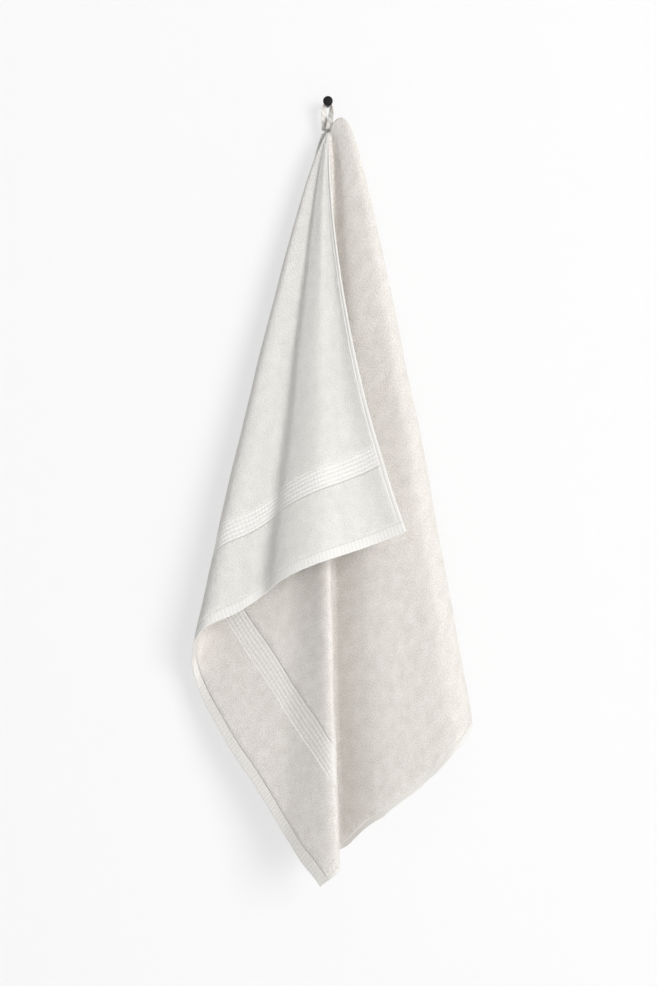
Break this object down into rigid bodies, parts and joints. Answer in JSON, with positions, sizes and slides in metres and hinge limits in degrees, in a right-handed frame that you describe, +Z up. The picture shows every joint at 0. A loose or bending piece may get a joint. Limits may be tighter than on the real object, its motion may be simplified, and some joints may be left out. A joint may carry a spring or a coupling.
{
  "type": "towel on a hook",
  "caption": "Terry bath towel hung by its tape loop on a small black wall hook, falling in long soft folds with flat hems and ribbed woven bands near its ends.",
  "frame": {"origin": "centre of the hook's back face, on the wall", "axes": "+Z up, +Y into the wall along the hook's stem, +X to the right as seen from the front"},
  "size_m": [0.4577, 0.2274, 1.288],
  "materials": {
    "terry": "matte looped pile, off-white, with smoother paler woven hems and bands",
    "tape": "matte woven cotton tape, off-white",
    "black_paint": "satin black"
  },
  "bodies": {
    "root": {"towel": "terry", "hanger_loop": "tape", "hook": "black_paint"}
  },
  "joints": []
}
